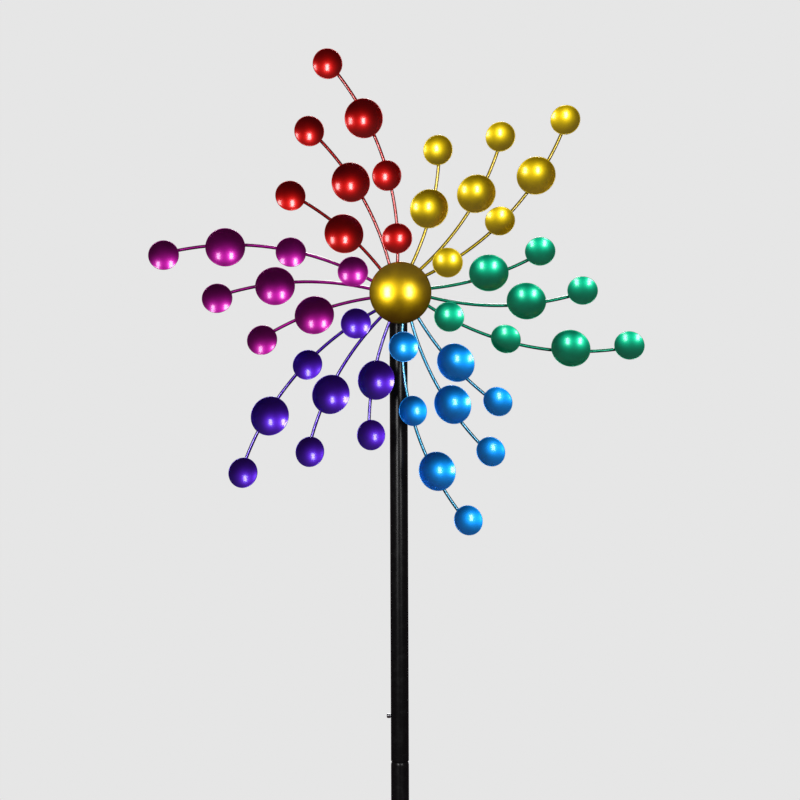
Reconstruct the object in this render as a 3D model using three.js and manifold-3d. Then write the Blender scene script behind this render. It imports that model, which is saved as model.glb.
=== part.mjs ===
// Garden wind spinner: a rotor of coloured wind cups on a black, knock-down stake pole.
// Millimetres, +Z up. The origin is on the pole's axis at ground level. The rotor faces -Y
// and turns on an axle that lies along Y. "Depth" below is a distance from the pole's axis
// towards the front, so a depth of d lies at y = -d.

import * as THREE from 'three';
import { mergeVertices } from 'three/addons/utils/BufferGeometryUtils.js';
import Module from 'manifold-3d';

const wasm = await Module();
wasm.setup();

// ---- Driving dimensions -------------------------------------------------------------------

const GAP = 0.3; // clearance between two pieces that touch
const AXLE_HEIGHT = 1600; // ground to the rotor's axle

// Pole: three tubes, each lower one necked at the top to plug into the one above
const POLE_RADIUS = 11;
const POLE_BORE = 9.5;
const POLE_TOP = AXLE_HEIGHT + 16;
const UPPER_SEAM = AXLE_HEIGHT - 571; // where the upper tube meets the middle one
const LOWER_SEAM = UPPER_SEAM - 600;
const SPIGOT_RADIUS = POLE_BORE - GAP;
const SPIGOT_BORE = SPIGOT_RADIUS - 1.5;
const SPIGOT_LENGTH = 70;
const SPIGOT_TIP = { height: 1, inset: 0.6 }; // bevel at a spigot's top
const SHOULDER_HEIGHT = 5; // rounded neck below each seam
const TOP_CAP = { plug: 8, tip: { height: 1, inset: 0.5 }, edge: 1.5, rim: 3, crown: 3.5, inset: 2 };

// The screws that lock each seam, with round heads and hexagon sockets
const SCREW_ABOVE_SEAM = 55.5;
const CLAMP_SCREW = { shank: 1.5, tip: 0.5, head: 2.7, headHeight: 4.6, headEdge: 0.9 };
const SCREW_SOCKET = { flats: 2.5, depth: 1.6 };
const SCREW_SIDES = 12;

// Foot: a flat cross that is stepped on, with four spikes
const FOOT_THICKNESS = 5;
const FOOT_REACH = 100; // centre to the end of an arm
const FOOT_ARM_WIDTH = 32;
const SPIKE_CIRCLE = 82; // centre to each spike
const SPIKE_RADIUS = 4;
const SPIKE_DEPTH = 230; // ground to the spike's point
const SPIKE_POINT = 24;
const SPIKE_HEAD = { radius: 8, edge: 1.5, top: 3, topRadius: 6, crown: 3.4 };
const SPIGOT_COLLAR = { radius: 13, edge: 1.5, height: 3 };

// Axle and bearings
const AXLE_RADIUS = 4;
const AXLE_BORE = AXLE_RADIUS + GAP; // hole in everything the axle passes through
const NUT_FLATS = 13;
const SADDLE_FACE = 14.3; // depth of the saddle washers' flat faces, in front and behind
const SADDLE = { radius: 9, back: 7.5 };
const BEARING = { outer: 11, inner: 4.3, width: 7, ball: 2, balls: 7, track: 7.6 };
const RACE_EDGE = 1.6; // how far the two races' lands stand from the ball track
const SHIELD = { thickness: 0.6, gap: 0.4 };
const CAGE = { radial: 0.5, axial: 1 }; // half of the cage ring's section

// Hub
const BARREL_RADIUS = 14;
const BARREL_LIP = 4; // barrel in front of the flange, inside the dome's collar
const BARREL_SHOULDER = 1.8; // step that holds the two bearings apart
const FLANGE_RADIUS = 33;
const FLANGE_THICKNESS = 3;
const DOME_RADIUS = 37.5;
const DOME_SPHERE = 66; // radius of the curve that the dome is pressed to
const DOME_WALL = 1.2;
const DOME_COLLAR_WALL = 1.2;

// Arms: bent wires with cups welded to their fronts
const WIRE_RADIUS = 2;
const WIRE_BEND = 340; // every wire is bent to this radius
const WIRE_START = 18; // distance from the axle to the wire's inner end
const WIRE_TAIL = 5; // wire beyond the centre of its last cup
const WELD_SINK = 0.6; // how far a cup sinks into its wire's weld
const CUP_RADIUS = { small: 18.4, big: 23.9 };
const CUP_SPHERE = 38; // cups of both sizes are pressed to the same curve
const CUP_WALL = 1.2;
const CUP_PITCH = 20; // degrees that a cup is turned about its wire
const INNER_CUP_PITCH = 10; // the cup nearest the hub stands flatter

// Start and heading are degrees counterclockwise, seen from the front, from the group's middle line.
// Each cup gives its distance along the wire.
const ARM_KINDS = {
  long: {
    start: -14.5,
    heading: -35.5,
    cups: [
      { at: 48, size: 'small', pitch: INNER_CUP_PITCH },
      { at: 125, size: 'small', pitch: CUP_PITCH },
      { at: 202, size: 'big', pitch: CUP_PITCH },
      { at: 278, size: 'small', pitch: CUP_PITCH },
    ],
  },
  middle: {
    start: -0.7,
    heading: -18,
    cups: [
      { at: 132, size: 'big', pitch: CUP_PITCH },
      { at: 206, size: 'small', pitch: CUP_PITCH },
    ],
  },
  short: {
    start: 13,
    heading: 2.5,
    cups: [
      { at: 90, size: 'big', pitch: CUP_PITCH },
      { at: 160, size: 'small', pitch: CUP_PITCH },
    ],
  },
};

// The rotor is bent and welded by hand: each wire leaves the hub a little off its heading, in degrees.
const COLOUR_GROUPS = [
  { name: 'green', colour: 0x117f5e, off: { long: -1, middle: 0.75, short: 0 } },
  { name: 'yellow', colour: 0xa58c1b, off: { long: -2.25, middle: -3.25, short: -1.5 } },
  { name: 'red', colour: 0x821612, off: { long: -0.75, middle: -0.75, short: 2.5 } },
  { name: 'magenta', colour: 0x69185a, off: { long: 3, middle: 2, short: 2.75 } },
  { name: 'indigo', colour: 0x371c71, off: { long: 0.5, middle: 0.25, short: 2 } },
  { name: 'blue', colour: 0x1c69a5, off: { long: -1.75, middle: -0.5, short: -5.25 } },
];

// Cups that were welded clearly off their usual place, in millimetres along the wire
const WELD_SLIPS = {
  green_long: [0, -3, 0, -3.5],
  green_middle: [3.5, 0],
  green_short: [1.5, 0],
  yellow_long: [2, 6.5, 0, 1.5],
  yellow_middle: [1.5, 3.5],
  yellow_short: [-1, 1.5],
  red_long: [0, 0, -2.5, 1],
  red_middle: [-3.5, 2.5],
  red_short: [-9.5, 0],
  magenta_long: [-3, -1.5, 1, 0],
  magenta_middle: [2.5, 0],
  indigo_short: [2, -1],
  blue_long: [0, 1.5, 3.5, -1.5],
};

// How finely round shapes are cut into flats
const CUP_SIDES = 12;
const CUP_BANDS = 2;
const WIRE_SIDES = 6;
const WIRE_STEP = 26;
const POLE_SIDES = 20;
const RING_SIDES = 16;
const DOME_SIDES = 24;
const DOME_BANDS = 3;
const FOOT_SEGMENTS = 5;

// ---- Depths of the pieces on the axle, from the pole forwards ---------------------------------

const NUT_BACK = SADDLE_FACE + GAP;
const CLAMP_NUT_THICKNESS = 5.5;
const REAR_WASHER_BACK = NUT_BACK + CLAMP_NUT_THICKNESS + GAP;
const WASHER_THICKNESS = 1.2;
const REAR_BEARING_BACK = REAR_WASHER_BACK + WASHER_THICKNESS + GAP;
const SPACER_BACK = REAR_BEARING_BACK + BEARING.width + GAP;
const SPACER_LENGTH = 8.7;
const FRONT_BEARING_BACK = SPACER_BACK + SPACER_LENGTH + GAP;
const FRONT_WASHER_BACK = FRONT_BEARING_BACK + BEARING.width + GAP;
const LOCK_NUT_BACK = FRONT_WASHER_BACK + WASHER_THICKNESS + GAP;
const LOCK_NUT_THICKNESS = 7.5;
const LOCK_NUT_COLLAR = { height: 2, inset: 0.4 };
const AXLE_FRONT = LOCK_NUT_BACK + LOCK_NUT_THICKNESS + 1.5;
const AXLE_HEAD_THICKNESS = 5.3;
const AXLE_CHAMFER = 0.8;

const BARREL_BACK = REAR_BEARING_BACK - GAP;
const BARREL_FRONT = FRONT_BEARING_BACK + BEARING.width + GAP;
const FLANGE_FRONT = BARREL_FRONT - BARREL_LIP;
const WIRE_DEPTH = FLANGE_FRONT + GAP + WIRE_RADIUS;
const DOME_BACK = WIRE_DEPTH + WIRE_RADIUS + GAP;

const SPIGOT_COLLAR_TOP = FOOT_THICKNESS + GAP + SPIGOT_COLLAR.height;

// ---- Geometry helpers -------------------------------------------------------------------------

const CUT = 1; // how far a cutter runs past the piece that it cuts
const radians = THREE.MathUtils.degToRad;

/** A solid from a closed geometry, with shared vertices merged and faces pointing out. */
function solid(geometry) {
  const bare = geometry.clone();
  bare.deleteAttribute('normal');
  bare.deleteAttribute('uv');
  const merged = mergeVertices(bare, 1e-4);
  const points = merged.attributes.position;
  const corners = merged.index.array;
  const triangles = [];
  let volume = 0;
  for (let i = 0; i < corners.length; i += 3) {
    const [a, b, c] = corners.slice(i, i + 3);
    if (a === b || b === c || c === a) continue;
    triangles.push(a, b, c);
    const [p, q, r] = [a, b, c].map((k) => new THREE.Vector3().fromBufferAttribute(points, k));
    volume += p.dot(q.cross(r));
  }
  if (volume < 0) triangles.reverse();
  return new wasm.Manifold(
    new wasm.Mesh({
      numProp: 3,
      vertProperties: Float32Array.from(points.array),
      triVerts: Uint32Array.from(triangles),
    }),
  );
}

/** The geometry of a solid. */
function surface(body) {
  const mesh = body.getMesh();
  const geometry = new THREE.BufferGeometry();
  geometry.setAttribute('position', new THREE.BufferAttribute(Float32Array.from(mesh.vertProperties), 3));
  geometry.setIndex(Array.from(mesh.triVerts));
  geometry.computeVertexNormals();
  return geometry;
}

/** Points of an arc, from one angle to another in degrees, about a centre. */
function arc(x, y, radius, from, to, steps) {
  return Array.from({ length: steps + 1 }, (_, i) => {
    const angle = radians(from + ((to - from) * i) / steps);
    return [x + radius * Math.cos(angle), y + radius * Math.sin(angle)];
  });
}

/** A turned solid about Y from [radius, y] points, which start and end on the axis or meet each other. */
function turned(profile, sides = RING_SIDES) {
  const points = profile.map(([radius, y]) => new THREE.Vector2(Math.max(radius, 0), y));
  return solid(new THREE.LatheGeometry(points, sides));
}

/** A turned ring about Y: its profile is closed here. */
function ring(profile, sides = RING_SIDES) {
  return turned([...profile, profile[0]], sides);
}

/** A spherical shell about Y: its back touches the origin and it opens towards +Y, with a flat rim. */
function pressedShell(rim, sphere, wall, bands, sides) {
  const rimDrop = Math.sqrt(sphere ** 2 - rim ** 2);
  const outerAngle = THREE.MathUtils.radToDeg(Math.acos(rimDrop / sphere));
  const innerAngle = THREE.MathUtils.radToDeg(Math.acos(rimDrop / (sphere - wall)));
  const outside = arc(0, sphere, sphere, -90, outerAngle - 90, bands);
  const inside = arc(0, sphere, sphere - wall, innerAngle - 90, -90, bands);
  return turned([...outside, ...inside], sides);
}

/** A plain tube about the axle, between two depths. */
function sleeve(outer, inner, back, front, sides = RING_SIDES) {
  return ring([[inner, -front], [outer, -front], [outer, -back], [inner, -back]], sides);
}

/** A plain round bar about the axle, between two depths. */
function bar(radius, back, front, sides = RING_SIDES) {
  return turned([[0, -front], [radius, -front], [radius, -back], [0, -back]], sides);
}

/** A body about Y, stood upright about Z. */
function upright(body) {
  return body.rotate([90, 0, 0]);
}

/** A regular polygon as a shape. */
function polygon(radius, sides) {
  const corners = Array.from({ length: sides }, (_, i) => {
    const angle = (2 * Math.PI * i) / sides;
    return new THREE.Vector2(radius * Math.cos(angle), radius * Math.sin(angle));
  });
  return new THREE.Shape(corners);
}

/** A hexagon prism about the axle, between two depths. */
function hexagon(flats, back, front) {
  const shape = polygon(flats / 2 / Math.cos(Math.PI / 6), 6);
  const prism = new THREE.ExtrudeGeometry(shape, { depth: front - back, bevelEnabled: false });
  return solid(prism.rotateX(Math.PI / 2).translate(0, -back, 0));
}

/** A round hole's cutter along Y through the axle's height. */
function axleCutter() {
  return bar(AXLE_BORE, -POLE_RADIUS - CUT, POLE_RADIUS + CUT).translate([0, 0, AXLE_HEIGHT]);
}

// ---- Arms -------------------------------------------------------------------------------------

/** The centre line of an arm's wire: a plain arc in the rotor's plane, seen from the front. */
class BentWire extends THREE.Curve {
  constructor(startAngle, heading, length) {
    super();
    this.start = new THREE.Vector2(WIRE_START, 0).rotateAround(new THREE.Vector2(), startAngle);
    this.heading = heading;
    this.length = length;
  }

  headingAt(distance) {
    return this.heading + distance / WIRE_BEND;
  }

  pointAt(distance) {
    const turn = this.headingAt(distance);
    const x = this.start.x + WIRE_BEND * (Math.sin(turn) - Math.sin(this.heading));
    const z = this.start.y - WIRE_BEND * (Math.cos(turn) - Math.cos(this.heading));
    return new THREE.Vector3(x, -WIRE_DEPTH, z);
  }

  getPoint(t, target = new THREE.Vector3()) {
    return target.copy(this.pointAt(t * this.length));
  }
}

/** A pressed cup about Y, opening towards +Y. Its flats touch the real round rim from outside. */
function cup(size) {
  const outside = 1 / Math.cos(Math.PI / CUP_SIDES);
  return pressedShell(CUP_RADIUS[size] * outside, CUP_SPHERE * outside, CUP_WALL, CUP_BANDS, CUP_SIDES);
}

/** A cup welded to the front of its wire, turned about the wire by its pitch. */
function weldedCup(wire, { size, pitch }, distance) {
  const heading = wire.headingAt(distance);
  const along = new THREE.Vector3(Math.cos(heading), 0, Math.sin(heading));
  const sideways = new THREE.Vector3(-Math.sin(heading), 0, Math.cos(heading));
  const opening = new THREE.Vector3(0, -Math.cos(radians(pitch)), 0);
  opening.addScaledVector(sideways, Math.sin(radians(pitch)));
  const place = new THREE.Matrix4().makeBasis(along, opening, along.clone().cross(opening));
  place.setPosition(wire.pointAt(distance).addScaledVector(opening, WIRE_RADIUS - WELD_SINK));
  return cup(size).transform(place.elements);
}

/** One arm: a bent wire with its cups welded on. */
function arm(kind, groupAngle, off, slips) {
  const { start, heading, cups } = ARM_KINDS[kind];
  const distances = cups.map(({ at }, i) => at + slips[i]);
  const length = distances.at(-1) + WIRE_TAIL;
  const wire = new BentWire(radians(groupAngle + start), radians(groupAngle + heading + off), length);
  const rod = new THREE.ExtrudeGeometry(polygon(WIRE_RADIUS, WIRE_SIDES), {
    steps: Math.ceil(length / WIRE_STEP),
    bevelEnabled: false,
    extrudePath: wire,
  });
  return cups.reduce((body, each, i) => body.add(weldedCup(wire, each, distances[i])), solid(rod));
}

// ---- Hub, bearings and axle -------------------------------------------------------------------

function hubBarrel() {
  const seat = BEARING.outer + GAP;
  const shoulder = seat - BARREL_SHOULDER;
  const flangeBack = FLANGE_FRONT - FLANGE_THICKNESS;
  const rearSeatEnd = SPACER_BACK;
  const frontSeatEnd = SPACER_BACK + SPACER_LENGTH;
  const profile = [
    [seat, -BARREL_FRONT],
    [BARREL_RADIUS, -BARREL_FRONT],
    [BARREL_RADIUS, -FLANGE_FRONT],
    [FLANGE_RADIUS, -FLANGE_FRONT],
    [FLANGE_RADIUS, -flangeBack],
    [BARREL_RADIUS, -flangeBack],
    [BARREL_RADIUS, -BARREL_BACK],
    [seat, -BARREL_BACK],
    [seat, -rearSeatEnd],
    [shoulder, -rearSeatEnd],
    [shoulder, -frontSeatEnd],
    [seat, -frontSeatEnd],
  ];
  return ring(profile, DOME_SIDES);
}

/** The front dome: a pressed shell with a collar inside that grips the barrel's end. */
function hubDome() {
  const centre = DOME_BACK - Math.sqrt(DOME_SPHERE ** 2 - DOME_RADIUS ** 2);
  const shell = pressedShell(DOME_RADIUS, DOME_SPHERE, DOME_WALL, DOME_BANDS, DOME_SIDES);
  const collarBore = BARREL_RADIUS + GAP;
  const collarRadius = collarBore + DOME_COLLAR_WALL;
  const collarReach = centre + Math.sqrt((DOME_SPHERE - DOME_WALL / 2) ** 2 - collarRadius ** 2);
  const collar = sleeve(collarRadius, collarBore, FLANGE_FRONT + GAP, collarReach, DOME_SIDES);
  return shell.translate([0, -centre - DOME_SPHERE, 0]).add(collar);
}

/** A ball race's groove, as [radius, offset] points: side is +1 in the outer ring, -1 in the inner. */
function raceGroove(side) {
  const groove = BEARING.ball + GAP;
  const edge = Math.sqrt(groove ** 2 - RACE_EDGE ** 2);
  return [-edge, 0, edge].map((offset) => {
    return [BEARING.track + side * Math.sqrt(groove ** 2 - offset ** 2), offset];
  });
}

function bearingOuterRing(back) {
  const middle = back + BEARING.width / 2;
  const half = BEARING.width / 2;
  const shieldBore = BEARING.track - RACE_EDGE + SHIELD.gap;
  const shieldInside = half - SHIELD.thickness;
  const land = BEARING.track + RACE_EDGE;
  const profile = [
    [shieldBore, -half],
    [BEARING.outer, -half],
    [BEARING.outer, half],
    [shieldBore, half],
    [shieldBore, shieldInside],
    [land, shieldInside],
    ...raceGroove(1).reverse(),
    [land, -shieldInside],
    [shieldBore, -shieldInside],
  ];
  return ring(profile.map(([radius, y]) => [radius, y - middle]));
}

function bearingInnerRing(back) {
  const middle = back + BEARING.width / 2;
  const half = BEARING.width / 2;
  const land = BEARING.track - RACE_EDGE;
  const profile = [
    [BEARING.inner, -half],
    [land, -half],
    ...raceGroove(-1),
    [land, half],
    [BEARING.inner, half],
  ];
  return ring(profile.map(([radius, y]) => [radius, y - middle]));
}

/** A bearing's balls, held by their cage. */
function ballCage(back) {
  const middle = back + BEARING.width / 2;
  const [outer, inner] = [BEARING.track + CAGE.radial, BEARING.track - CAGE.radial];
  const cage = sleeve(outer, inner, middle - CAGE.axial, middle + CAGE.axial, BEARING.balls);
  const ball = new THREE.IcosahedronGeometry(BEARING.ball);
  return Array.from({ length: BEARING.balls }, (_, i) => {
    const angle = (2 * Math.PI * i) / BEARING.balls;
    const centre = [BEARING.track * Math.cos(angle), -middle, BEARING.track * Math.sin(angle)];
    return solid(ball).translate(centre);
  }).reduce((body, each) => body.add(each), cage);
}

/** The bolt that carries the rotor: its hexagon head is behind the pole. */
function axleBolt() {
  const headFront = -SADDLE_FACE - GAP;
  const head = hexagon(NUT_FLATS, headFront - AXLE_HEAD_THICKNESS, headFront);
  const shankBack = headFront - CUT;
  const shank = turned([
    [0, -AXLE_FRONT],
    [AXLE_RADIUS - AXLE_CHAMFER, -AXLE_FRONT],
    [AXLE_RADIUS, -AXLE_FRONT + AXLE_CHAMFER],
    [AXLE_RADIUS, -shankBack],
    [0, -shankBack],
  ]);
  return head.add(shank);
}

/** A washer with one face hollowed to sit on the pole: side is +1 in front, -1 behind. */
function saddleWasher(side) {
  const depths = [side * SADDLE.back, side * SADDLE_FACE].sort((a, b) => a - b);
  const pole = upright(bar(POLE_RADIUS + GAP, -SADDLE.radius - CUT, SADDLE.radius + CUT, POLE_SIDES));
  return sleeve(SADDLE.radius, AXLE_BORE, ...depths).subtract(pole);
}

function hexNut(back, thickness) {
  const front = back + thickness;
  return hexagon(NUT_FLATS, back, front).subtract(bar(AXLE_BORE, back - CUT, front + CUT));
}

/** A nut with a round collar in front, which holds its locking ring. */
function lockNut() {
  const nut = hexNut(LOCK_NUT_BACK, LOCK_NUT_THICKNESS - LOCK_NUT_COLLAR.height);
  const front = LOCK_NUT_BACK + LOCK_NUT_THICKNESS;
  const radius = NUT_FLATS / 2 - LOCK_NUT_COLLAR.inset;
  return nut.add(sleeve(radius, AXLE_BORE, front - LOCK_NUT_COLLAR.height - CUT, front));
}

function axleWasher(back) {
  return sleeve(BEARING.track - RACE_EDGE, AXLE_BORE, back, back + WASHER_THICKNESS);
}

// ---- Pole -------------------------------------------------------------------------------------

/** The hole in a tube's left wall for the screw that locks a seam. */
function screwCutter(height) {
  const cutter = bar(CLAMP_SCREW.shank + GAP, SPIGOT_BORE, POLE_RADIUS + CUT, SCREW_SIDES);
  return cutter.rotate([0, 0, -90]).translate([0, 0, height]);
}

/** A tube standing between two heights, with the screw's hole above its lower seam. */
function poleTube(profile, seam) {
  return upright(ring(profile, POLE_SIDES)).subtract(screwCutter(seam + SCREW_ABOVE_SEAM));
}

function upperPole() {
  const bottom = UPPER_SEAM + GAP;
  const profile = [
    [POLE_BORE, bottom],
    [POLE_RADIUS, bottom],
    [POLE_RADIUS, POLE_TOP],
    [POLE_BORE, POLE_TOP],
  ];
  return poleTube(profile, UPPER_SEAM).subtract(axleCutter());
}

/** A tube from one seam to the next, with its upper end necked down to a spigot for the tube above. */
function neckedPole(lowerSeam, seam) {
  const bottom = lowerSeam + GAP;
  const neckBottom = seam - SHOULDER_HEIGHT;
  const spigotTop = seam + SPIGOT_LENGTH;
  const neck = arc(0, 0, 1, 0, 90, 3).map(([across, up]) => {
    return [SPIGOT_RADIUS + (POLE_RADIUS - SPIGOT_RADIUS) * across, neckBottom + SHOULDER_HEIGHT * up];
  });
  const profile = [
    [POLE_BORE, bottom],
    [POLE_RADIUS, bottom],
    ...neck,
    [SPIGOT_RADIUS, spigotTop - SPIGOT_TIP.height],
    [SPIGOT_RADIUS - SPIGOT_TIP.inset, spigotTop],
    [SPIGOT_BORE, spigotTop],
    [SPIGOT_BORE, neckBottom + SHOULDER_HEIGHT / 2],
    [POLE_BORE, neckBottom - SHOULDER_HEIGHT / 2],
  ];
  return poleTube(profile, lowerSeam);
}

/** A black plastic plug in the pole's open top. */
function poleTopCap() {
  const seat = POLE_TOP + GAP;
  const plugBottom = POLE_TOP - TOP_CAP.plug;
  const profile = [
    [0, plugBottom],
    [SPIGOT_RADIUS - TOP_CAP.tip.inset, plugBottom],
    [SPIGOT_RADIUS, plugBottom + TOP_CAP.tip.height],
    [SPIGOT_RADIUS, seat],
    [POLE_RADIUS, seat],
    [POLE_RADIUS, seat + TOP_CAP.edge],
    [POLE_RADIUS - TOP_CAP.inset, seat + TOP_CAP.rim],
    [0, seat + TOP_CAP.crown],
  ];
  return upright(turned(profile, POLE_SIDES));
}

/** A clamping screw from the left, through the tube's wall and up to the spigot. */
function clampScrew(height) {
  const { shank, tip, head, headHeight, headEdge } = CLAMP_SCREW;
  const end = SPIGOT_RADIUS + GAP;
  const underHead = POLE_RADIUS + GAP;
  const top = underHead + headHeight;
  const profile = [
    [0, -top],
    [head - headEdge, -top],
    [head, -top + headEdge],
    [head, -underHead],
    [shank, -underHead],
    [shank, -end - tip],
    [shank - tip, -end],
    [0, -end],
  ];
  const socket = hexagon(SCREW_SOCKET.flats, top - SCREW_SOCKET.depth, top + CUT);
  return turned(profile, SCREW_SIDES).subtract(socket).rotate([0, 0, -90]).translate([0, 0, height]);
}

// ---- Foot -------------------------------------------------------------------------------------

const SPIKE_PLACES = {
  right: [SPIKE_CIRCLE, 0],
  back: [0, SPIKE_CIRCLE],
  left: [-SPIKE_CIRCLE, 0],
  front: [0, -SPIKE_CIRCLE],
};

/** A flat cross with round ends and a hole near the end of each arm. */
function footCross() {
  const half = FOOT_ARM_WIDTH / 2;
  const endCentre = FOOT_REACH - half;
  const outline = new THREE.Shape();
  for (let quarter = 0; quarter < 4; quarter += 1) {
    const turn = (quarter * Math.PI) / 2;
    const centre = new THREE.Vector2(endCentre, 0).rotateAround(new THREE.Vector2(), turn);
    outline.absarc(centre.x, centre.y, half, turn - Math.PI / 2, turn + Math.PI / 2);
    const corner = new THREE.Vector2(half, half).rotateAround(new THREE.Vector2(), turn);
    outline.lineTo(corner.x, corner.y);
  }
  for (const [x, y] of Object.values(SPIKE_PLACES)) {
    outline.holes.push(new THREE.Path().absarc(x, y, SPIKE_RADIUS + GAP, 0, 2 * Math.PI));
  }
  const options = { depth: FOOT_THICKNESS, bevelEnabled: false, curveSegments: FOOT_SEGMENTS };
  return solid(new THREE.ExtrudeGeometry(outline, options));
}

/** A pointed rod with a flat head, driven through the foot into the ground. */
function groundSpike([x, y]) {
  const headBottom = FOOT_THICKNESS + GAP;
  const profile = [
    [0, -SPIKE_DEPTH],
    [SPIKE_RADIUS, -SPIKE_DEPTH + SPIKE_POINT],
    [SPIKE_RADIUS, headBottom],
    [SPIKE_HEAD.radius, headBottom],
    [SPIKE_HEAD.radius, headBottom + SPIKE_HEAD.edge],
    [SPIKE_HEAD.topRadius, headBottom + SPIKE_HEAD.top],
    [0, headBottom + SPIKE_HEAD.crown],
  ];
  return upright(turned(profile, SCREW_SIDES)).translate([x, y, 0]);
}

/** The tube that stands on the foot and carries the pole. */
function footSpigot() {
  const bottom = FOOT_THICKNESS + GAP;
  const top = SPIGOT_COLLAR_TOP + SPIGOT_LENGTH;
  const profile = [
    [SPIGOT_BORE, bottom],
    [SPIGOT_COLLAR.radius, bottom],
    [SPIGOT_COLLAR.radius, bottom + SPIGOT_COLLAR.edge],
    [POLE_RADIUS, SPIGOT_COLLAR_TOP],
    [SPIGOT_RADIUS, SPIGOT_COLLAR_TOP],
    [SPIGOT_RADIUS, top - SPIGOT_TIP.height],
    [SPIGOT_RADIUS - SPIGOT_TIP.inset, top],
    [SPIGOT_BORE, top],
  ];
  return upright(ring(profile, POLE_SIDES));
}

// ---- Assembly ---------------------------------------------------------------------------------

const FINISHES = {
  black_enamel: { color: 0x0c0c0d, roughness: 0.25, metalness: 0.1 },
  black_plastic: { color: 0x161616, roughness: 0.5, metalness: 0 },
  gold_enamel: { color: 0x987d13, roughness: 0.3, metalness: 0.8 },
  zinc: { color: 0xb4b6b8, roughness: 0.4, metalness: 0.9 },
  bearing_steel: { color: 0xcfd2d4, roughness: 0.2, metalness: 1 },
};

/** A named mesh of a solid, with a material of its own. */
function piece(name, body, finish) {
  const mesh = new THREE.Mesh(surface(body), new THREE.MeshStandardMaterial(finish));
  mesh.name = name;
  return mesh;
}

function rotor() {
  const group = new THREE.Group();
  group.position.z = AXLE_HEIGHT;
  COLOUR_GROUPS.forEach(({ name, colour, off }, i) => {
    const groupAngle = (360 / COLOUR_GROUPS.length) * i;
    const enamel = { color: colour, roughness: 0.3, metalness: 0.8 };
    for (const kind of Object.keys(ARM_KINDS)) {
      const slips = WELD_SLIPS[`${name}_${kind}`] ?? ARM_KINDS[kind].cups.map(() => 0);
      group.add(piece(`${name}_${kind}_arm`, arm(kind, groupAngle, off[kind], slips), enamel));
    }
  });
  group.add(piece('hub_barrel', hubBarrel(), FINISHES.zinc));
  group.add(piece('hub_dome', hubDome(), FINISHES.gold_enamel));
  return group;
}

function axleAssembly() {
  const group = new THREE.Group();
  group.position.z = AXLE_HEIGHT;
  group.add(piece('axle_bolt', axleBolt(), FINISHES.zinc));
  group.add(piece('rear_saddle_washer', saddleWasher(-1), FINISHES.zinc));
  group.add(piece('front_saddle_washer', saddleWasher(1), FINISHES.zinc));
  group.add(piece('axle_clamp_nut', hexNut(NUT_BACK, CLAMP_NUT_THICKNESS), FINISHES.zinc));
  group.add(piece('rear_axle_washer', axleWasher(REAR_WASHER_BACK), FINISHES.zinc));
  for (const [place, back] of [['rear', REAR_BEARING_BACK], ['front', FRONT_BEARING_BACK]]) {
    group.add(piece(`${place}_bearing_outer_ring`, bearingOuterRing(back), FINISHES.bearing_steel));
    group.add(piece(`${place}_bearing_ball_cage`, ballCage(back), FINISHES.bearing_steel));
    group.add(piece(`${place}_bearing_inner_ring`, bearingInnerRing(back), FINISHES.bearing_steel));
  }
  const spacerFront = SPACER_BACK + SPACER_LENGTH;
  const spacer = sleeve(BEARING.track - RACE_EDGE, AXLE_BORE, SPACER_BACK, spacerFront);
  group.add(piece('bearing_spacer', spacer, FINISHES.zinc));
  group.add(piece('front_axle_washer', axleWasher(FRONT_WASHER_BACK), FINISHES.zinc));
  group.add(piece('axle_lock_nut', lockNut(), FINISHES.zinc));
  return group;
}

function pole() {
  const group = new THREE.Group();
  group.add(piece('pole_upper', upperPole(), FINISHES.black_enamel));
  group.add(piece('pole_middle', neckedPole(LOWER_SEAM, UPPER_SEAM), FINISHES.black_enamel));
  group.add(piece('pole_lower', neckedPole(SPIGOT_COLLAR_TOP, LOWER_SEAM), FINISHES.black_enamel));
  group.add(piece('pole_top_cap', poleTopCap(), FINISHES.black_plastic));
  const seams = { upper: UPPER_SEAM, middle: LOWER_SEAM, lower: SPIGOT_COLLAR_TOP };
  for (const [place, seam] of Object.entries(seams)) {
    group.add(piece(`${place}_pole_screw`, clampScrew(seam + SCREW_ABOVE_SEAM), FINISHES.zinc));
  }
  return group;
}

function foot() {
  const group = new THREE.Group();
  group.add(piece('foot_cross', footCross(), FINISHES.black_enamel));
  group.add(piece('foot_spigot', footSpigot(), FINISHES.black_enamel));
  for (const [side, place] of Object.entries(SPIKE_PLACES)) {
    group.add(piece(`${side}_ground_spike`, groundSpike(place), FINISHES.black_enamel));
  }
  return group;
}

const spinner = new THREE.Group();
spinner.name = 'wind_spinner';
spinner.add(rotor(), axleAssembly(), pole(), foot());

export default spinner;
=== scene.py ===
"""The looks of a garden wind spinner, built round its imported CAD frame.

Metres, +Z up. The rotor faces -Y and turns about an axle along Y. A "depth" is a distance from the
pole's axis towards the front, so a depth of d lies at y = -d.
"""

import math

import bmesh
import bpy
from mathutils import Matrix, Vector


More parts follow.
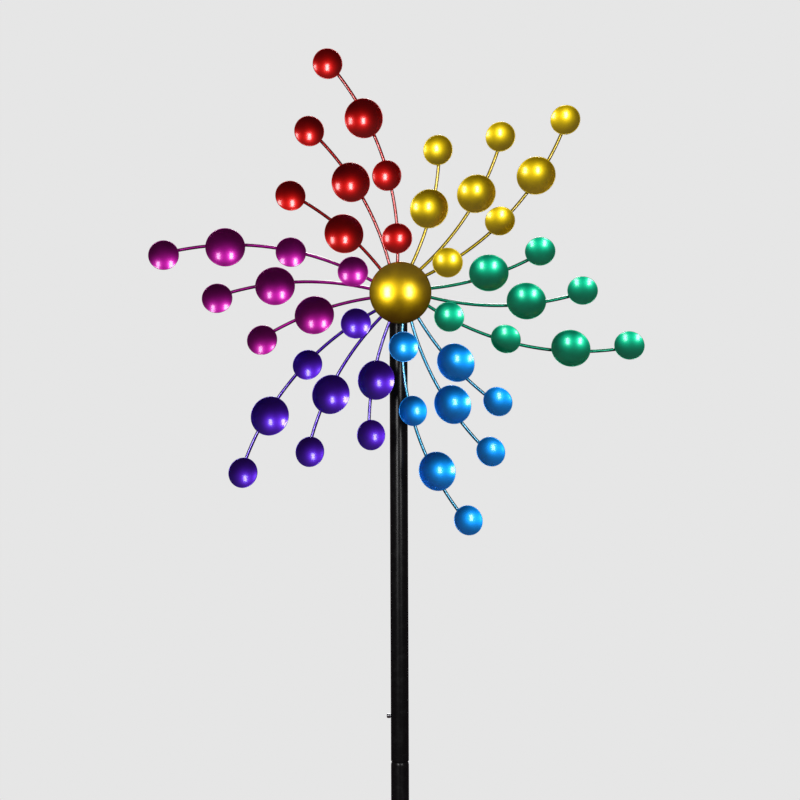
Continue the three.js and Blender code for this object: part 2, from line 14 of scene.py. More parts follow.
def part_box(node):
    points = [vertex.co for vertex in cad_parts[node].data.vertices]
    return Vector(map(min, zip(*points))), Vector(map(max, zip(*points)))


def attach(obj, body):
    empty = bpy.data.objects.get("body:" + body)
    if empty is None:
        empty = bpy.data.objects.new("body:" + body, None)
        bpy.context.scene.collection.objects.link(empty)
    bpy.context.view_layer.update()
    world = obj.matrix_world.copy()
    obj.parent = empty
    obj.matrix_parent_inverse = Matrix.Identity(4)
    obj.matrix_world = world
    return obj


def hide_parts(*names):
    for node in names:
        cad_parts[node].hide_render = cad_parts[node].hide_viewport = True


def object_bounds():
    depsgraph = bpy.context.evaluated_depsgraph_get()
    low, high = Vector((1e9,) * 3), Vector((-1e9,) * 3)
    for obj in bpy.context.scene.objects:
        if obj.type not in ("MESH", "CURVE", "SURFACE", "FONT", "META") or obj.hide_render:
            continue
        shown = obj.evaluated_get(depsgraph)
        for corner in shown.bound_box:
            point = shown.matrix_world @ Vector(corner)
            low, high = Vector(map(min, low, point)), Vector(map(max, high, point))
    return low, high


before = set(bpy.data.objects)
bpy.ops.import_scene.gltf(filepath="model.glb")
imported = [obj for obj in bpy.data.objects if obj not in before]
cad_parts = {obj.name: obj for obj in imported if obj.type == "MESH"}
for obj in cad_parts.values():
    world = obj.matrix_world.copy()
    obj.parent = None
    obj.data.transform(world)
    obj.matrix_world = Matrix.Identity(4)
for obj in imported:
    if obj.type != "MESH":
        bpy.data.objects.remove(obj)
cad_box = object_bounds()

MM = 0.001
GAP = 0.3 * MM
ROUND = 64  # sides of a turned piece
POLE_ROUND = 80
FINE_ROUND = 96  # sides of the widest turned pieces
CUP_ROUND = 72
SPIKE_ROUND = 40
WIRE_ROUND = 20
HEXAGON_ROUND = 48  # points round a hexagon, with one at each corner and middle

# ---- The frame's own sizes --------------------------------------------------------------------

upper_low, upper_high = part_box("pole_upper")
POLE_RADIUS = upper_high.x
UPPER_SEAM = upper_low.z - GAP
LOWER_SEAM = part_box("pole_middle")[0].z - GAP
POLE_TOP = upper_high.z
dome_low, dome_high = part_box("hub_dome")
AXLE_HEIGHT = (dome_low.z + dome_high.z) / 2
LOWEST = cad_box[0].z  # the spikes' points

# ---- Sizes shared with the CAD model ------------------------------------------------------------

POLE_BORE = 9.5 * MM
SPIGOT_RADIUS = POLE_BORE - GAP
SPIGOT_BORE = SPIGOT_RADIUS - 1.5 * MM
SPIGOT_LENGTH = 70 * MM
SHOULDER_HEIGHT = 5 * MM
SPIGOT_TIP = 1 * MM
SPIGOT_TIP_INSET = 0.6 * MM

AXLE_RADIUS = 4 * MM
AXLE_BORE = AXLE_RADIUS + GAP
NUT_FLATS = 13 * MM
BOLT_HEAD = 5.3 * MM
LOCK_COLLAR = 2 * MM
BALL_TRACK = 7.6 * MM
BALL_RADIUS = 2 * MM
BALLS = 7
BEARING_RADIUS = 11 * MM
SHIELD = 0.6 * MM
LAND = 1.6 * MM

WIRE_RADIUS = 2 * MM
WIRE_BEND = 340 * MM
WIRE_START = 18 * MM
WIRE_TAIL = 5 * MM
WELD_SINK = 0.6 * MM
WELD_REACH = 4.2 * MM
WELD_BEAD = 0.9 * MM
WELD_FLAT = 0.2 * MM
CUP_RADIUS = {"small": 18.4 * MM, "big": 23.9 * MM}
CUP_SPHERE = 38 * MM  # cups of both sizes are pressed to the same curve
CUP_WALL = 0.9 * MM
CUP_PITCH = 20
INNER_CUP_PITCH = 10
DOME_RADIUS = 37.5 * MM
DOME_SPHERE = 66 * MM
DOME_WALL = 1 * MM
DOME_COLLAR_WALL = 1.2 * MM

SCREW_SHANK = 1.5 * MM
SCREW_SOCKET = 2.5 * MM
SCREW_HEAD = 4.6 * MM
SCREW_SOCKET_DEPTH = 1.6 * MM
PLATE_EDGE = 0.8 * MM
ARM_HALF_WIDTH = 16 * MM
COLLAR_RADIUS = 13 * MM
SPIKE_REACH = 82 * MM
SPIKE_RADIUS = 4 * MM
SPIKE_HEAD = 8 * MM
SPIKE_POINT = 24 * MM

# Angles in degrees counterclockwise, seen from the front, from the colour group's middle line. Each
# cup gives its distance along the wire in millimetres, its size and its pitch.
ARM_KINDS = {
    "long": {
        "start": -14.5,
        "heading": -35.5,
        "cups": [
            (48, "small", INNER_CUP_PITCH),
            (125, "small", CUP_PITCH),
            (202, "big", CUP_PITCH),
            (278, "small", CUP_PITCH),
        ],
    },
    "middle": {
        "start": -0.7,
        "heading": -18,
        "cups": [(132, "big", CUP_PITCH), (206, "small", CUP_PITCH)],
    },
    "short": {
        "start": 13,
        "heading": 2.5,
        "cups": [(90, "big", CUP_PITCH), (160, "small", CUP_PITCH)],
    },
}

# Each colour group with how far its wires leave the hub off their heading, in degrees
GROUPS = {
    "green": {"long": -1, "middle": 0.75, "short": 0},
    "yellow": {"long": -2.25, "middle": -3.25, "short": -1.5},
    "red": {"long": -0.75, "middle": -0.75, "short": 2.5},
    "magenta": {"long": 3, "middle": 2, "short": 2.75},
    "indigo": {"long": 0.5, "middle": 0.25, "short": 2},
    "blue": {"long": -1.75, "middle": -0.5, "short": -5.25},
}

# Cups welded clearly off their usual place, in millimetres along the wire
WELD_SLIPS = {
    ("green", "long"): [0, -3, 0, -3.5],
    ("green", "middle"): [3.5, 0],
    ("green", "short"): [1.5, 0],
    ("yellow", "long"): [2, 6.5, 0, 1.5],
    ("yellow", "middle"): [1.5, 3.5],
    ("yellow", "short"): [-1, 1.5],
    ("red", "long"): [0, 0, -2.5, 1],
    ("red", "middle"): [-3.5, 2.5],
    ("red", "short"): [-9.5, 0],
    ("magenta", "long"): [-3, -1.5, 1, 0],
    ("magenta", "middle"): [2.5, 0],
    ("indigo", "short"): [2, -1],
    ("blue", "long"): [0, 1.5, 3.5, -1.5],
}

# ---- Materials ------------------------------------------------------------------------------------


class Nodes:
    """A node material in the making, with its Principled shader."""

    def __init__(self, name):
        self.material = bpy.data.materials.new(name)
        self.material.use_nodes = True
        self.tree = self.material.node_tree
        self.shader = self.tree.nodes["Principled BSDF"]
        self.place = self.tree.nodes.new("ShaderNodeTexCoord").outputs["Object"]

    def set(self, **values):
        """Sets the shader's own sockets, which are the same all over the surface."""
        for name, value in values.items():
            self.shader.inputs[name.replace("_", " ").title().replace("Ior", "IOR")].default_value = value

    def noise(self, size, detail=2.0, roughness=0.5):
        """Noise with features of about the given size, in metres."""
        node = self.tree.nodes.new("ShaderNodeTexNoise")
        node.inputs["Scale"].default_value = 1 / size
        node.inputs["Detail"].default_value = detail
        node.inputs["Roughness"].default_value = roughness
        self.tree.links.new(self.place, node.inputs["Vector"])
        return node.outputs["Fac"]

    def spread(self, value, low, high, low_in=0.3, high_in=0.7):
        """Maps a noise value to a range."""
        node = self.tree.nodes.new("ShaderNodeMapRange")
        node.inputs["From Min"].default_value = low_in
        node.inputs["From Max"].default_value = high_in
        node.inputs["To Min"].default_value = low
        node.inputs["To Max"].default_value = high
        self.tree.links.new(value, node.inputs["Value"])
        return node.outputs["Result"]

    def blend(self, factor, first, second):
        """A colour between two colours. Either may be a socket."""
        node = self.tree.nodes.new("ShaderNodeMix")
        node.data_type = "RGBA"
        self.tree.links.new(factor, node.inputs[0])
        for socket, colour in ((node.inputs[6], first), (node.inputs[7], second)):
            if isinstance(colour, bpy.types.NodeSocket):
                self.tree.links.new(colour, socket)
            else:
                socket.default_value = (*colour, 1)
        return node.outputs[2]

    def bump(self, height, depth, strength=1.0, under=None):
        """A bump of the given depth in metres, on top of another bump."""
        node = self.tree.nodes.new("ShaderNodeBump")
        node.inputs["Strength"].default_value = strength
        node.inputs["Distance"].default_value = depth
        self.tree.links.new(height, node.inputs["Height"])
        if under is not None:
            self.tree.links.new(under, node.inputs["Normal"])
        return node.outputs["Normal"]

    def feed(self, **sockets):
        """Links the shader's sockets."""
        for name, socket in sockets.items():
            self.tree.links.new(socket, self.shader.inputs[name.replace("_", " ").title()])


def shade(colour, factor):
    """A colour made lighter or darker."""
    return tuple(min(1.0, channel * factor) for channel in colour)


def candy_enamel(name, colour, roughness=0.42, coat_ior=1.5, coat_roughness=0.17):
    """Translucent enamel over bright metal flake: a satin metallic under a glossy coat."""
    nodes = Nodes(name)
    cloud = nodes.spread(nodes.noise(28 * MM, detail=3), 0, 1)
    flake = nodes.spread(nodes.noise(0.45 * MM, detail=1), 0, 1, 0.35, 0.65)
    clouded = nodes.blend(cloud, shade(colour, 0.88), shade(colour, 1.12))
    flaked = nodes.blend(nodes.spread(flake, 0, 0.25, 0.6, 1), clouded, shade(colour, 1.9))
    peel = nodes.bump(nodes.noise(2.2 * MM, detail=1), 0.03 * MM, 0.3)
    nodes.feed(
        base_color=flaked,
        roughness=nodes.spread(cloud, roughness - 0.03, roughness + 0.04, 0, 1),
        normal=nodes.bump(flake, 0.012 * MM, 0.3, under=peel),
    )
    nodes.set(metallic=1.0, coat_weight=0.95, coat_roughness=coat_roughness, coat_ior=coat_ior)
    return nodes.material


def black_enamel(name):
    """Satin black powder coat, with a faint orange peel and a little dust."""
    nodes = Nodes(name)
    dust = nodes.spread(nodes.noise(9 * MM, detail=5, roughness=0.65), 0, 1, 0.5, 0.78)
    peel = nodes.bump(nodes.noise(1.6 * MM, detail=2), 0.04 * MM, 0.4)
    nodes.feed(
        base_color=nodes.blend(dust, (0.0035, 0.0034, 0.0036), (0.0075, 0.0075, 0.0078)),
        roughness=nodes.spread(dust, 0.27, 0.36, 0, 1),
        normal=peel,
    )
    nodes.set(specular_ior_level=0.17)
    return nodes.material


def black_plastic(name):
    """Moulded plastic with a fine grain."""
    nodes = Nodes(name)
    grain = nodes.noise(0.5 * MM, detail=3)
    patch = nodes.spread(nodes.noise(6 * MM), 0, 1)
    nodes.feed(
        base_color=nodes.blend(patch, (0.01, 0.01, 0.01), (0.018, 0.018, 0.018)),
        roughness=nodes.spread(grain, 0.42, 0.55),
        normal=nodes.bump(grain, 0.03 * MM, 0.6),
    )
    return nodes.material


def bare_metal(name, colour, roughness, brush):
    """Plated or ground steel: fine grain, with duller and darker patches."""
    nodes = Nodes(name)
    patch = nodes.spread(nodes.noise(7 * MM, detail=4), 0, 1)
    grain = nodes.noise(brush, detail=3, roughness=0.6)
    nodes.feed(
        base_color=nodes.blend(patch, shade(colour, 0.82), colour),
        roughness=nodes.spread(grain, roughness - 0.08, roughness + 0.1),
        normal=nodes.bump(grain, 0.01 * MM, 0.5),
    )
    nodes.set(metallic=1.0)
    return nodes.material


def studio_floor(name):
    """A pale matt floor that glows a little, as one under a lit studio does."""
    nodes = Nodes(name)
    cloud = nodes.spread(nodes.noise(0.6, detail=3), 0, 1)
    nodes.feed(base_color=nodes.blend(cloud, (0.76, 0.76, 0.76), (0.8, 0.8, 0.8)))
    nodes.set(roughness=0.8, emission_strength=0.3)
    return nodes.material


ENAMELS = {
    "green": (0.0001, 0.39, 0.20),
    "yellow": (0.59, 0.42, 0.002),
    "red": (0.37, 0.002, 0.001),
    "magenta": (0.32, 0.005, 0.225),
    "indigo": (0.070, 0.010, 0.44),
    "blue": (0.002, 0.29, 0.92),
}
# Each wire's enamel is a copy of its cups' enamel with painted light and shade. Most are darker, which is
# painted shade. The blue ones are darker and more cyan. The magenta ones are lighter, which is painted light
# standing in for the softboxes' light that these level wires miss.
WIRE_ENAMELS_WITH_PAINTED_LIGHT_AND_SHADE = {name: shade(colour, 0.68) for name, colour in ENAMELS.items()}
WIRE_ENAMELS_WITH_PAINTED_LIGHT_AND_SHADE["blue"] = (0.008, 0.2, 0.34)
WIRE_ENAMELS_WITH_PAINTED_LIGHT_AND_SHADE["magenta"] = shade(ENAMELS["magenta"], 1.2)
MATERIALS = {}
for name, colour in ENAMELS.items():
    MATERIALS[f"{name}_enamel"] = candy_enamel(f"{name}_enamel", colour)
    # The wire materials are the darker and lighter copies, with painted shade and painted light.
    MATERIALS[f"{name}_rod_painted_light_and_shade_enamel"] = candy_enamel(
        f"{name}_rod_painted_light_and_shade_enamel", WIRE_ENAMELS_WITH_PAINTED_LIGHT_AND_SHADE[name], roughness=0.33, coat_ior=1.7, coat_roughness=0.12
    )
MATERIALS["gold_enamel"] = candy_enamel("gold_enamel", (0.6, 0.385, 0.001), roughness=0.33)
MATERIALS["black_enamel"] = black_enamel("black_enamel")
MATERIALS["black_plastic"] = black_plastic("black_plastic")
MATERIALS["zinc_plate"] = bare_metal("zinc_plate", (0.5, 0.51, 0.53), 0.2, 0.8 * MM)
MATERIALS["bearing_steel"] = bare_metal("bearing_steel", (0.68, 0.69, 0.71), 0.2, 0.5 * MM)

# ---- Mesh building --------------------------------------------------------------------------------


def finished(name, mesh, body, slot, replaces, material=None):
    """An object of a mesh, smooth, with its material and its body; the CAD nodes it stands for are hidden.
    """
    mesh.name = name
    for polygon in mesh.polygons:
        polygon.use_smooth = True
    mesh.set_sharp_from_angle(angle=math.radians(38))
    piece = bpy.data.objects.new(name, mesh)
    bpy.context.scene.collection.objects.link(piece)
    mesh.materials.clear()
    mesh.materials.append(MATERIALS[material or slot])
    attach(piece, body)
    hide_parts(*replaces)


def loft(rings, closed=False):
    """A mesh through rings of points. Unless it closes on itself, both ends are capped."""
    count = len(rings[0])
    pairs = len(rings) if closed else len(rings) - 1
    faces = []
    for i in range(pairs):
        low, high = i * count, (i + 1) % len(rings) * count
        for j in range(count):
            k = (j + 1) % count
            faces.append((low + j, low + k, high + k, high + j))
    if not closed:
        last = (len(rings) - 1) * count
        faces.append(tuple(range(count)))
        faces.append(tuple(range(last, last + count)))
    mesh = bpy.data.meshes.new("loft")
    mesh.from_pydata([point for ring in rings for point in ring], [], faces)
    return cleaned(mesh)


def cleaned(mesh):
    """Merges a mesh's coincident points, as on an axis, and turns its faces out."""
    work = bmesh.new()
    work.from_mesh(mesh)
    bmesh.ops.remove_doubles(work, verts=work.verts, dist=1e-7)
    bmesh.ops.recalc_face_normals(work, faces=work.faces)
    work.to_mesh(mesh)
    work.free()
    return mesh


def circle(sides=ROUND):
    """Evenly spaced angles of a whole turn."""
    return [2 * math.pi * i / sides for i in range(sides)]


def about_axle(radius, depth, angle):
    """A point at an angle about the axle."""
    return Vector((radius * math.cos(angle), -depth, AXLE_HEIGHT + radius * math.sin(angle)))


def about_pole(radius, height, angle):
    """A point at an angle about the pole."""
    return Vector((radius * math.cos(angle), radius * math.sin(angle), height))


def turned(profile, about, closed=False, sides=ROUND):
    """A turned mesh from (radius, distance along the axis) points."""
    rings = [[about(radius, along, angle) for angle in circle(sides)] for radius, along in profile]
    return loft(rings, closed)


def filleted(outline, radius, closed=False, steps=4):
    """An outline with its corners rounded, apart from open ends and points on the axis."""
    points = [Vector(point) for point in outline]
    rounded = []
    for i, corner in enumerate(points):
        at_end = not closed and i in (0, len(points) - 1)
        before, after = points[i - 1], points[(i + 1) % len(points)]
        if at_end or corner.x < 1e-9:
            rounded.append(corner)
            continue
        back, ahead = before - corner, after - corner
        reach = min(radius, 0.45 * back.length, 0.45 * ahead.length)
        start, end = corner + back.normalized() * reach, corner + ahead.normalized() * reach
        for step in range(steps + 1):
            t = step / steps
            rounded.append((1 - t) ** 2 * start + 2 * t * (1 - t) * corner + t**2 * end)
    return rounded


def arc(across, along, radius, start, end, steps):
    """Points of an arc between two angles in degrees."""
    angles = [math.radians(start + (end - start) * i / steps) for i in range(steps + 1)]
    return [(across + radius * math.cos(a), along + radius * math.sin(a)) for a in angles]


def shell_profile(rim, sphere, wall, steps=14):
    """Half the section of a pressed spherical shell that opens upwards, with a rounded rim."""
    half = wall / 2
    middle = sphere - half
    angle = math.asin((rim - half) / middle)
    turn = math.degrees(angle) - 90
    outside = arc(0, sphere, sphere, -90, turn, steps)
    lip = arc(middle * math.sin(angle), sphere - middle * math.cos(angle), half, turn, turn + 180, 8)
    inside = arc(0, sphere, sphere - wall, turn, -90, steps)
    return [*outside, *lip[1:-1], *inside]


def hexagon_radius(flats, angle):
    """How far a hexagon's edge lies from its middle at an angle."""
    sixth = math.pi / 3
    return flats / 2 / math.cos(angle % sixth - sixth / 2)


def hexagon_rings(flats, back, front, about, chamfers=(True, True)):
    """Rings of a hexagon with the chamfered corners of a nut, from its back face to its front face."""
    slope = math.tan(math.radians(30))
    corner = flats / 2 / math.cos(math.pi / 6)
    face_radius = 0.95 * flats / 2
    chamfer = (corner - face_radius) * slope
    steps = 5
    inset = [chamfer * i / steps for i in range(steps + 1)]
    depths = [(back + d, d if chamfers[0] else chamfer) for d in inset]
    depths += [(front - d, d if chamfers[1] else chamfer) for d in reversed(inset)]
    rings = []
    for depth, cut in depths:
        limit = face_radius + cut / slope
        angles = circle(HEXAGON_ROUND)
        rings.append([about(min(hexagon_radius(flats, a), limit), depth, a) for a in angles])
    return rings


def round_ring(radius, depth, about, sides=HEXAGON_ROUND):
    """A ring of points. By default it has as many as a hexagon's ring, so that they can be joined."""
    return [about(radius, depth, angle) for angle in circle(sides)]


# ---- Arms -----------------------------------------------------------------------------------------


class BentWire:
    """An arm's wire: an arc in the rotor's plane, followed by its distance from the hub end."""

    def __init__(self, start, heading, depth):
        self.start = Vector((math.cos(start), math.sin(start))) * WIRE_START
        self.heading = heading
        self.depth = depth

    def heading_at(self, distance):
        """The angle that the wire runs at."""
        return self.heading + distance / WIRE_BEND

    def point(self, distance):
        """A point on the wire's middle line."""
        turn = self.heading_at(distance)
        x = self.start.x + WIRE_BEND * (math.sin(turn) - math.sin(self.heading))
        z = self.start.y - WIRE_BEND * (math.cos(turn) - math.cos(self.heading))
        return Vector((x, -self.depth, AXLE_HEIGHT + z))

    def along(self, distance):
        """The direction that the wire runs in."""
        turn = self.heading_at(distance)
        return Vector((math.cos(turn), 0, math.sin(turn)))

    def sideways(self, distance):
        """The direction across the wire, in the rotor's plane."""
        turn = self.heading_at(distance)
        return Vector((-math.sin(turn), 0, math.cos(turn)))

    def opening(self, distance, pitch):
        """The direction that a cup of this pitch faces."""
        lean = math.radians(pitch)
        return Vector((0, -math.cos(lean), 0)) + self.sideways(distance) * math.sin(lean)


def weld_bead(distance, welds):
    """How strong the nearest cup's weld is here, from 0 to 1, and which way the cup opens."""
    place, opening = min(welds, key=lambda weld: abs(distance - weld[0]))
    return math.exp(-(((distance - place) / WELD_REACH) ** 2)), opening


def wire_mesh(wire, length, welds):
    """A round wire with rounded ends, thickened where the cups are welded on."""
    step, cap_steps = 1.5 * MM, 4
    ends = [WIRE_RADIUS * (1 - math.cos(math.pi / 2 * i / cap_steps)) for i in range(cap_steps + 1)]
    inner = [ends[-1] + step * i for i in range(1, int((length - 2 * ends[-1]) / step))]
    distances = [*ends, *inner, *[length - end for end in reversed(ends)]]
    rings = []
    for distance in distances:
        from_end = min(distance, length - distance)
        taper = math.sqrt(max(0.0, 1 - (1 - min(1.0, from_end / WIRE_RADIUS)) ** 2))
        bead, opening = weld_bead(distance, welds)
        ripple = 1 + 0.12 * math.sin(distance / (0.35 * MM))
        radius = (WIRE_RADIUS + WELD_BEAD * bead * ripple) * taper
        limit = WIRE_RADIUS - WELD_FLAT * bead
        centre, sideways = wire.point(distance), wire.sideways(distance)
        ring = []
        for angle in circle(WIRE_ROUND):
            spoke = radius * (sideways * math.cos(angle) + Vector((0, math.sin(angle), 0)))
            ring.append(centre + spoke - opening * max(0.0, spoke.dot(opening) - limit))
        rings.append(ring)
    return loft(rings)


def cup_mesh(wire, distance, size, pitch):
    """A pressed cup on the front of its wire, opening along its pitched direction."""
    rim = CUP_RADIUS[size]
    opening = wire.opening(distance, pitch)
    along = wire.along(distance)
    across = along.cross(opening)
    base = wire.point(distance) + opening * (WIRE_RADIUS - WELD_SINK)

    def place(radius, height, angle):
        return base + opening * height + radius * (along * math.cos(angle) + across * math.sin(angle))

    return turned(shell_profile(rim, CUP_SPHERE, CUP_WALL), place, sides=CUP_ROUND)


def arm(colour, kind, group_angle):
    """One arm: the wire with its welds, and its cups."""
    node = f"{colour}_{kind}_arm"
    slot = f"{colour}_enamel"
    shape = ARM_KINDS[kind]
    heading = group_angle + shape["heading"] + GROUPS[colour][kind]
    slips = WELD_SLIPS.get((colour, kind), [0] * len(shape["cups"]))
    places = [(at + slip) * MM for (at, _, _), slip in zip(shape["cups"], slips)]
    wire = BentWire(math.radians(group_angle + shape["start"]), math.radians(heading), WIRE_DEPTH)
    welds = [(place, wire.opening(place, pitch)) for place, (_, _, pitch) in zip(places, shape["cups"])]
    rod = wire_mesh(wire, places[-1] + WIRE_TAIL, welds)
    # The wire takes the copy of its enamel that has painted light and shade.
    finished(f"{colour}_{kind}_wire", rod, "rotor", slot, [node], f"{colour}_rod_painted_light_and_shade_enamel")
    for number, (place, (_, size, pitch)) in enumerate(zip(places, shape["cups"]), 1):
        mesh = cup_mesh(wire, place, size, pitch)
        finished(f"{colour}_{kind}_cup_{number}", mesh, "rotor", slot, [node])


# ---- Hub and axle ---------------------------------------------------------------------------------

barrel_low, barrel_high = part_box("hub_barrel")
BARREL_BACK = -barrel_high.y
BARREL_FRONT = -barrel_low.y
BARREL_RADIUS = 14 * MM
FLANGE_RADIUS = 33 * MM
FLANGE_FRONT = BARREL_FRONT - 4 * MM
FLANGE_BACK = FLANGE_FRONT - 3 * MM
WIRE_DEPTH = FLANGE_FRONT + GAP + WIRE_RADIUS
DOME_BACK = WIRE_DEPTH + WIRE_RADIUS + GAP


def depths(node):
    """The depths of a CAD node's back and front."""
    low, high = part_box(node)
    return -high.y, -low.y


def hub_dome():
    """The gold front cap, spun from sheet with a rounded rim, and the collar that grips the barrel."""
    sphere_drop = math.sqrt(DOME_SPHERE**2 - DOME_RADIUS**2)
    front = DOME_BACK - sphere_drop + DOME_SPHERE
    shell = shell_profile(DOME_RADIUS, DOME_SPHERE, DOME_WALL, steps=20)
    mesh = turned([(radius, front - along) for radius, along in shell], about_axle, sides=FINE_ROUND)
    finished("hub_dome_shell", mesh, "rotor", "gold_enamel", ["hub_dome"])
    bore = BARREL_RADIUS + GAP
    collar_radius = bore + DOME_COLLAR_WALL
    reach = DOME_BACK - sphere_drop + math.sqrt((DOME_SPHERE - DOME_WALL) ** 2 - collar_radius**2)
    back = FLANGE_FRONT + GAP
    collar = [(bore, back), (collar_radius, back), (collar_radius, reach), (bore, reach)]
    mesh = turned(filleted(collar, 0.3 * MM, closed=True), about_axle, closed=True)
    finished("hub_dome_collar", mesh, "rotor", "gold_enamel", ["hub_dome"])


def hub_barrel():
    """The turned barrel with its flange and the seats of both bearings."""
    seat = BEARING_RADIUS + GAP
    shoulder = seat - 1.8 * MM
    spacer_back, spacer_front = depths("bearing_spacer")
    profile = [
        (seat, BARREL_FRONT),
        (BARREL_RADIUS, BARREL_FRONT),
        (BARREL_RADIUS, FLANGE_FRONT),
        (FLANGE_RADIUS, FLANGE_FRONT),
        (FLANGE_RADIUS, FLANGE_BACK),
        (BARREL_RADIUS, FLANGE_BACK),
        (BARREL_RADIUS, BARREL_BACK),
        (seat, BARREL_BACK),
        (seat, spacer_back),
        (shoulder, spacer_back),
        (shoulder, spacer_front),
        (seat, spacer_front),
    ]
    mesh = turned(filleted(profile, 0.7 * MM, closed=True), about_axle, closed=True, sides=FINE_ROUND)
    finished("hub_barrel_and_flange", mesh, "rotor", "zinc_plate", ["hub_barrel"])


def race_groove(middle, side):
    """A race's ball groove, from its back to its front: side is 1 in the outer ring, -1 in the inner."""
    groove = BALL_RADIUS + GAP
    edge = math.sqrt(groove**2 - LAND**2)
    steps = 8
    offsets = [edge * (2 * i / steps - 1) for i in range(steps + 1)]
    return [(BALL_TRACK + side * math.sqrt(groove**2 - d**2), middle + d) for d in offsets]


def bearing(place):
    """One ball bearing: outer ring with its shields, inner ring, and balls in their cage."""
    back, front = depths(f"{place}_bearing_outer_ring")
    middle = (back + front) / 2
    shield_bore = BALL_TRACK - LAND + 0.4 * MM
    outer = [
        (shield_bore, back),
        (BEARING_RADIUS, back),
        (BEARING_RADIUS, front),
        (shield_bore, front),
        (shield_bore, front - SHIELD),
        (BALL_TRACK + LAND, front - SHIELD),
        *reversed(race_groove(middle, 1)),
        (BALL_TRACK + LAND, back + SHIELD),
        (shield_bore, back + SHIELD),
    ]
    inner = [(AXLE_BORE, back), (BALL_TRACK - LAND, back), *race_groove(middle, -1)]
    inner += [(BALL_TRACK - LAND, front), (AXLE_BORE, front)]
    for ring, profile, body in (("outer", outer, "rotor"), ("inner", inner, "pole_head")):
        mesh = turned(filleted(profile, 0.25 * MM, closed=True, steps=3), about_axle, closed=True)
        node = f"{place}_bearing_{ring}_ring"
        finished(f"{node}_ground", mesh, body, "bearing_steel", [node])
    ball_cage(place, middle)


def ball_cage(place, middle):
    """The balls and the ring that holds them, which turn together."""
    node = f"{place}_bearing_ball_cage"
    half = 0.5 * MM
    work = bmesh.new()
    for i in range(BALLS):
        centre = about_axle(BALL_TRACK, middle, 2 * math.pi * i / BALLS)
        matrix = Matrix.Translation(centre)
        bmesh.ops.create_icosphere(work, subdivisions=3, radius=BALL_RADIUS * 0.98, matrix=matrix)
    balls = bpy.data.meshes.new("balls")
    work.to_mesh(balls)
    work.free()
    finished(f"{place}_bearing_balls", balls, f"{place}_ball_cage", "bearing_steel", [node])
    section = [
        (BALL_TRACK - half, middle - 2 * half),
        (BALL_TRACK + half, middle - 2 * half),
        (BALL_TRACK + half, middle + 2 * half),
        (BALL_TRACK - half, middle + 2 * half),
    ]
    cage = turned(filleted(section, 0.2 * MM, closed=True), about_axle, closed=True)
    finished(f"{place}_bearing_cage_ring", cage, f"{place}_ball_cage", "bearing_steel", [node])


def hex_nut(node, collar=0.0):
    """A chamfered nut on the axle, with the rounded collar of a lock nut if it has one."""
    back, front = depths(node)
    hexagon_front = front - collar
    rings = hexagon_rings(NUT_FLATS, back, hexagon_front, about_axle)
    bore = AXLE_BORE
    if collar:
        outer = NUT_FLATS / 2 - 0.4 * MM
        profile = [(outer, hexagon_front), (outer, front), (bore, front)]
        rings += [round_ring(radius, depth, about_axle) for radius, depth in filleted(profile, 0.9 * MM)]
    chamfer = 0.5 * MM
    hole = [(bore + chamfer, front), (bore, front - chamfer), (bore, back + chamfer), (bore + chamfer, back)]
    rings += [round_ring(radius, depth, about_axle) for radius, depth in hole]
    finished(f"{node}_chamfered", loft(rings, closed=True), "pole_head", "zinc_plate", [node])


def plain_sleeve(node):
    """A washer or spacer on the axle."""
    back, front = depths(node)
    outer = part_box(node)[1].x
    profile = [(AXLE_BORE, back), (outer, back), (outer, front), (AXLE_BORE, front)]
    mesh = turned(filleted(profile, 0.25 * MM, closed=True), about_axle, closed=True)
    finished(f"{node}_turned", mesh, "pole_head", "zinc_plate", [node])


def saddle_washer(node, side):
    """A washer with one face hollowed to the pole. side is 1 in front of the pole and -1 behind."""
    back, front = depths(node)
    flat, edge = (front, back) if side > 0 else (back, front)
    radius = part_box(node)[1].x
    pole = POLE_RADIUS + GAP

    def hollow(r, angle):
        return side * max(abs(edge), math.sqrt(pole**2 - (r * math.cos(angle)) ** 2))

    steps = 10
    spans = [radius + (AXLE_BORE - radius) * i / steps for i in range(steps + 1)]
    chamfer = 0.5 * MM
    rings = [round_ring(AXLE_BORE, flat, about_axle, ROUND)]
    rings += [round_ring(radius - chamfer, flat, about_axle, ROUND)]
    rings += [round_ring(radius, flat - side * chamfer, about_axle, ROUND)]
    rings += [[about_axle(r, hollow(r, a), a) for a in circle()] for r in spans]
    finished(f"{node}_hollowed", loft(rings, closed=True), "pole_head", "zinc_plate", [node])


def axle_bolt():
    """The axle: a bolt with a chamfered hexagon head behind the pole."""
    back, front = depths("axle_bolt")
    head_front = back + BOLT_HEAD
    rings = hexagon_rings(NUT_FLATS, back, head_front, about_axle, chamfers=(True, False))
    chamfer = 0.8 * MM
    shank = [(AXLE_RADIUS, head_front), (AXLE_RADIUS, front - chamfer), (AXLE_RADIUS - chamfer, front)]
    rings += [round_ring(radius, depth, about_axle) for radius, depth in shank]
    finished("axle_bolt_forged", loft(rings), "pole_head", "zinc_plate", ["axle_bolt"])


# ---- Pole and foot --------------------------------------------------------------------------------


def black_tube(name, profile, body, node):
    """A black tube about the pole's axis."""
    mesh = turned(filleted(profile, 0.4 * MM, closed=True), about_pole, closed=True, sides=POLE_ROUND)
    finished(name, mesh, body, "black_enamel", [node])


def upper_pole():
    """The plain tube that carries the axle."""
    bottom = UPPER_SEAM + GAP
    profile = [(POLE_BORE, bottom), (POLE_RADIUS, bottom), (POLE_RADIUS, POLE_TOP), (POLE_BORE, POLE_TOP)]
    black_tube("pole_upper_tube", profile, "pole_head", "pole_upper")


